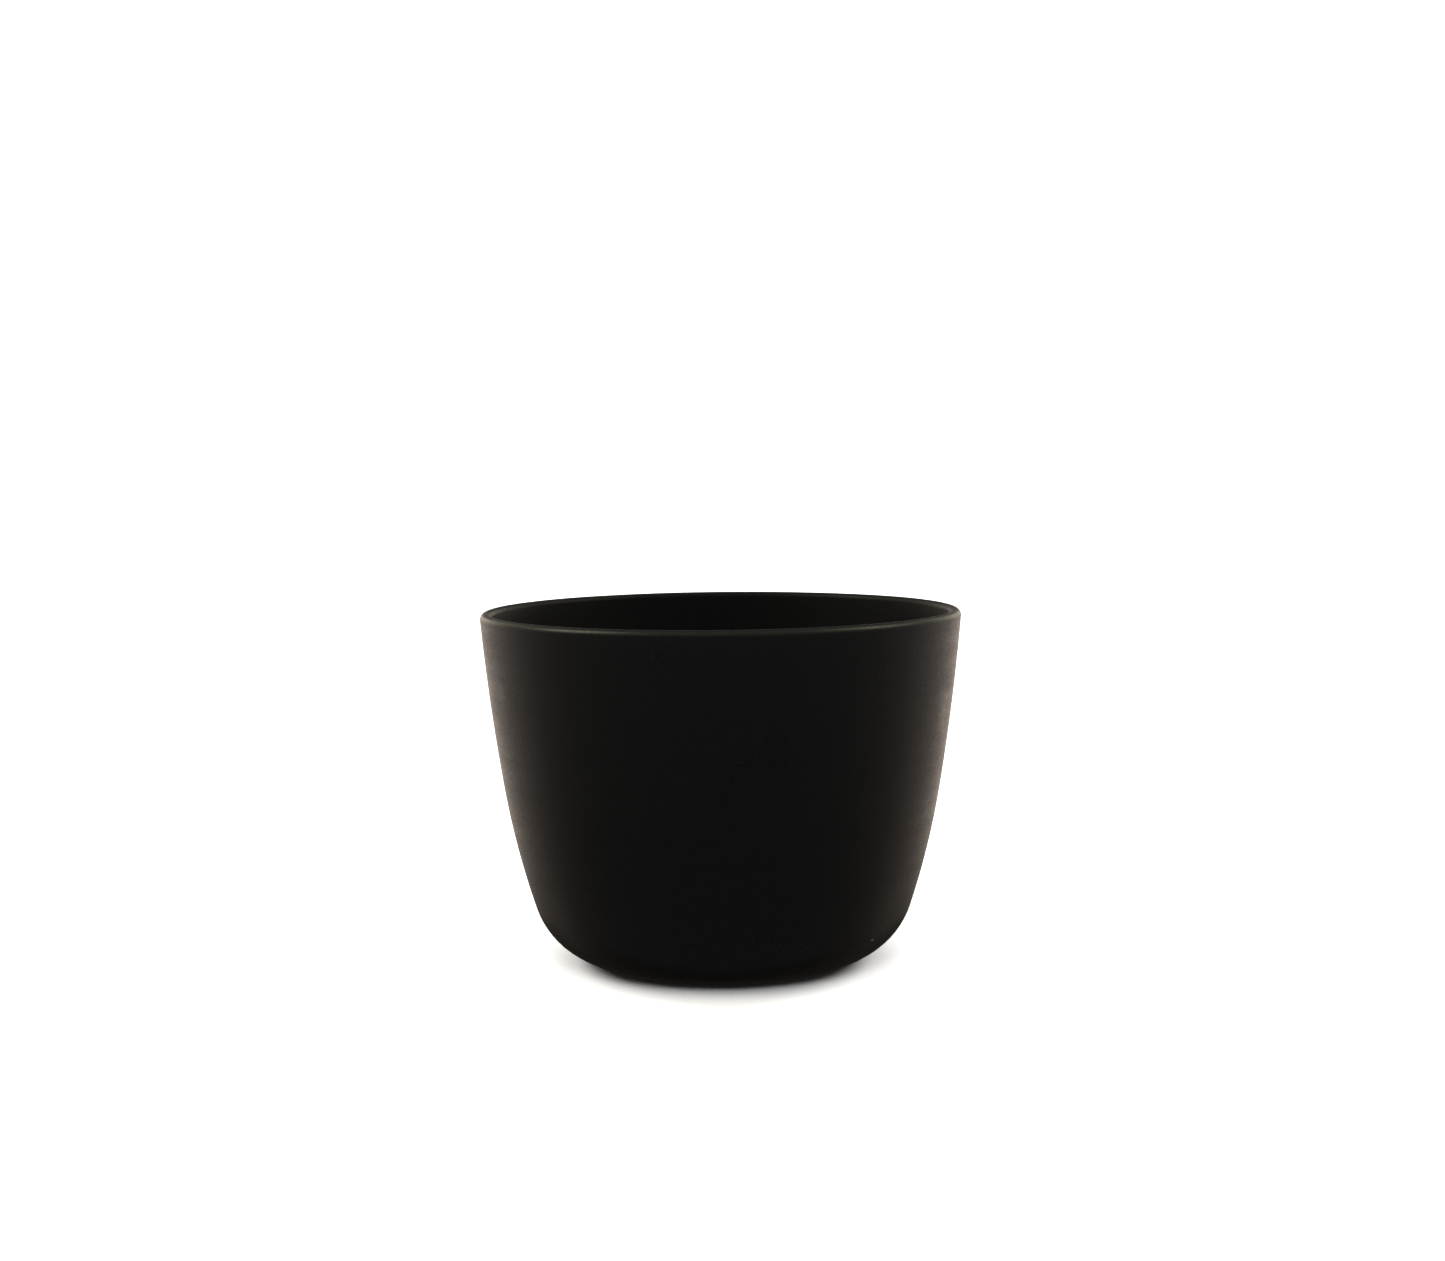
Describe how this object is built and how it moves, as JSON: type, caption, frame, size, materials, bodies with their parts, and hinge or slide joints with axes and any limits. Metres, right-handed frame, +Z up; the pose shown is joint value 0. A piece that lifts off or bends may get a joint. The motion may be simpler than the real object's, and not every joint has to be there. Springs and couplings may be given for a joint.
{
  "type": "empty candle jar",
  "caption": "Round tapered candle jar with a rounded heel, thin full-round lip and flat floor, coated matte black, to be filled with wax and a wick.",
  "frame": {"origin": "centre of the foot, on the plane the jar stands on", "axes": "+Z up along the axis of revolution, out of the mouth; X and Y are free, because the jar is round"},
  "size_m": [0.09, 0.09, 0.066],
  "materials": {
    "matte_black_coat": "opaque matte black spray coat on glass, inside and out, with a slight satin sheen"
  },
  "bodies": {
    "root": {"jar_body": "matte_black_coat"}
  },
  "joints": []
}
